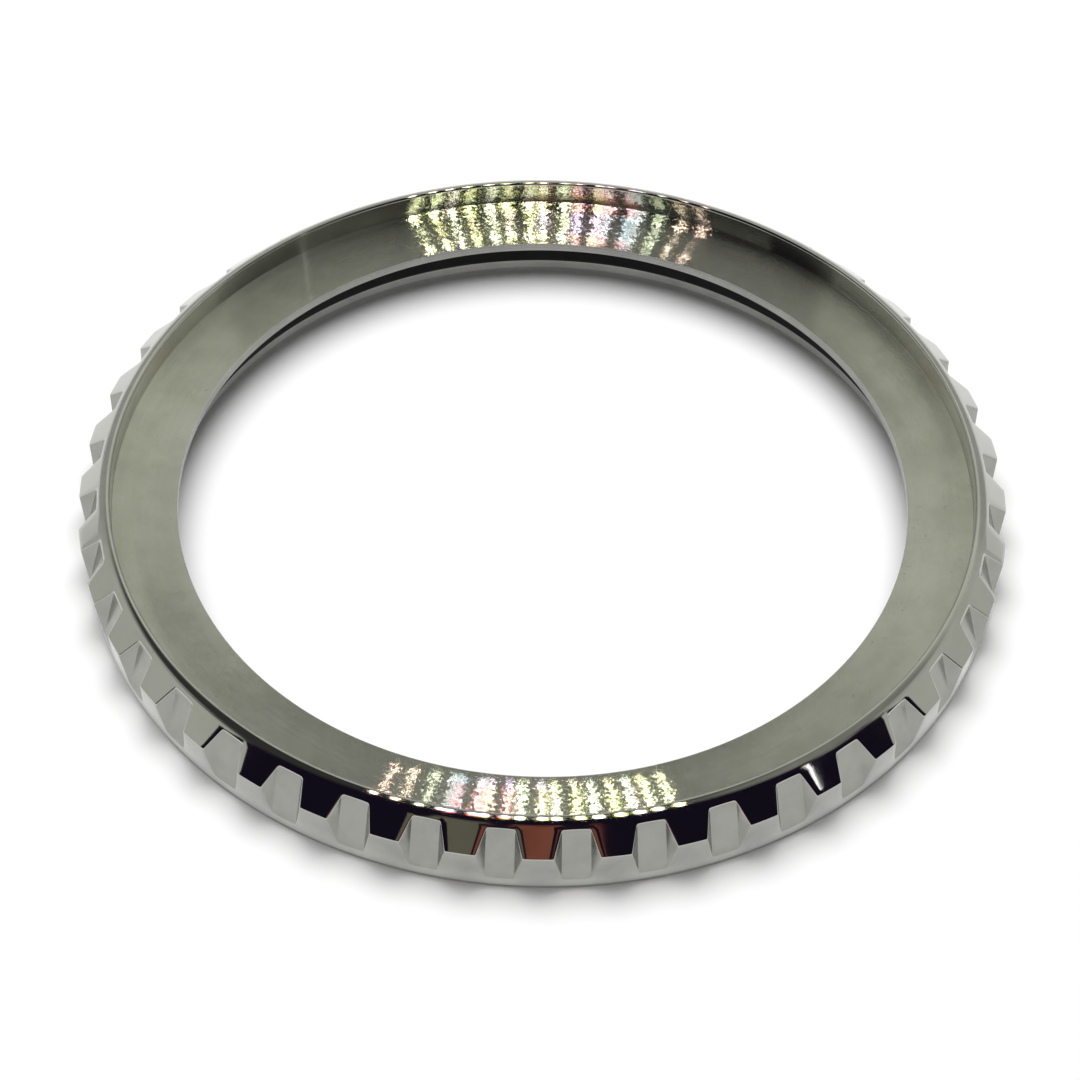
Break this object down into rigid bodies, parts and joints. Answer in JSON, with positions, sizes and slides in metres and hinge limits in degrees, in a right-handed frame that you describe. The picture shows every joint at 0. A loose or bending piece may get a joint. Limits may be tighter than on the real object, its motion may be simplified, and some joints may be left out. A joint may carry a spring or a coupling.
{
  "type": "rotating watch bezel",
  "caption": "Notched steel bezel ring for a diver's watch that turns on a click spring ring, with a gasket groove and a bare seat for a flat insert.",
  "frame": {"origin": "centre of the foot, on the turning axis, in the plane that the bezel lies on", "axes": "+Z along the turning axis, from the watch case up to the wearer; one grip tooth is centred on each of +X, +Y, -X and -Y"},
  "size_m": [0.041, 0.041, 0.0035],
  "materials": {
    "polished_steel": "polished bevel and rim, fine turned seat, satin side wall and notches",
    "gasket_rubber": "matt black nitrile rubber",
    "spring_steel": "stamped, lightly tumbled"
  },
  "bodies": {
    "case_side": {"click_spring_ring": "spring_steel"},
    "bezel": {"bezel_ring": "polished_steel", "retaining_gasket": "gasket_rubber"}
  },
  "joints": [
    {"name": "bezel_turn", "type": "hinge", "parent": "case_side", "child": "bezel", "pos_m": [0, 0, 0], "axis": [0, 0, 1], "continuous": true}
  ]
}
